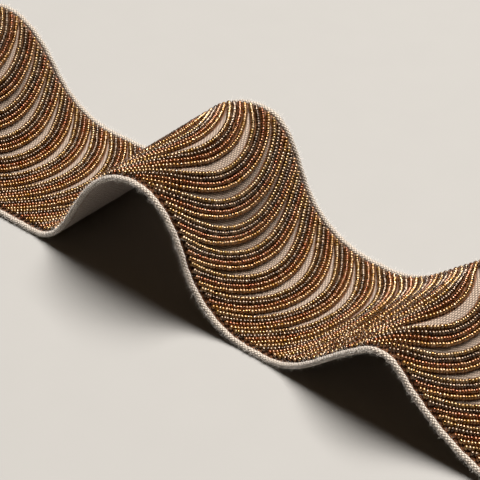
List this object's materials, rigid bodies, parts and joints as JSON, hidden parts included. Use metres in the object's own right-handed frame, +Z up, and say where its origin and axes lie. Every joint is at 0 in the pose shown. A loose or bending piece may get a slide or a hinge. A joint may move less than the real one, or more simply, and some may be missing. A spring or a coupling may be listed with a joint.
{
  "type": "beaded tape trim",
  "caption": "Cut length of woven tape lying in waves, bound along both edges, with curved bands of seed beads sewn across it.",
  "frame": {"origin": "centre of the trim's bounding box at the surface it lies on", "axes": "+X along the run of the tape, in the direction the bead arcs bulge; +Y to the back edge; +Z up"},
  "size_m": [0.336, 0.0602, 0.0435],
  "materials": {
    "tape_cloth": "beige-grey linen and wool twill, matt",
    "binding_cloth": "paler corded binding with a light fuzz, matt",
    "beads": "metal-coated glass beads in pale gold, gunmetal, copper and amber, glossy"
  },
  "bodies": {
    "root": {"tape": "tape_cloth", "binding_front": "binding_cloth", "binding_back": "binding_cloth", "bead_band_01": "beads", "bead_band_02": "beads", "bead_band_03": "beads", "bead_band_04": "beads", "bead_band_05": "beads", "bead_band_06": "beads", "bead_band_07": "beads", "bead_band_08": "beads", "bead_band_09": "beads", "bead_band_10": "beads", "bead_band_11": "beads", "bead_band_12": "beads", "bead_band_13": "beads", "bead_band_14": "beads", "bead_band_15": "beads", "bead_band_16": "beads", "bead_band_17": "beads", "bead_band_18": "beads", "bead_band_19": "beads", "bead_band_20": "beads", "bead_band_21": "beads", "bead_band_22": "beads", "bead_band_23": "beads", "bead_band_24": "beads", "bead_band_25": "beads", "bead_band_26": "beads", "bead_band_27": "beads", "bead_band_28": "beads", "bead_band_29": "beads", "bead_band_30": "beads", "bead_band_31": "beads", "bead_band_32": "beads", "bead_band_33": "beads", "bead_band_34": "beads", "bead_band_35": "beads", "bead_band_36": "beads", "bead_band_37": "beads", "bead_band_38": "beads", "bead_band_39": "beads", "bead_band_40": "beads", "bead_band_41": "beads", "bead_band_42": "beads", "bead_band_43": "beads"}
  },
  "joints": []
}
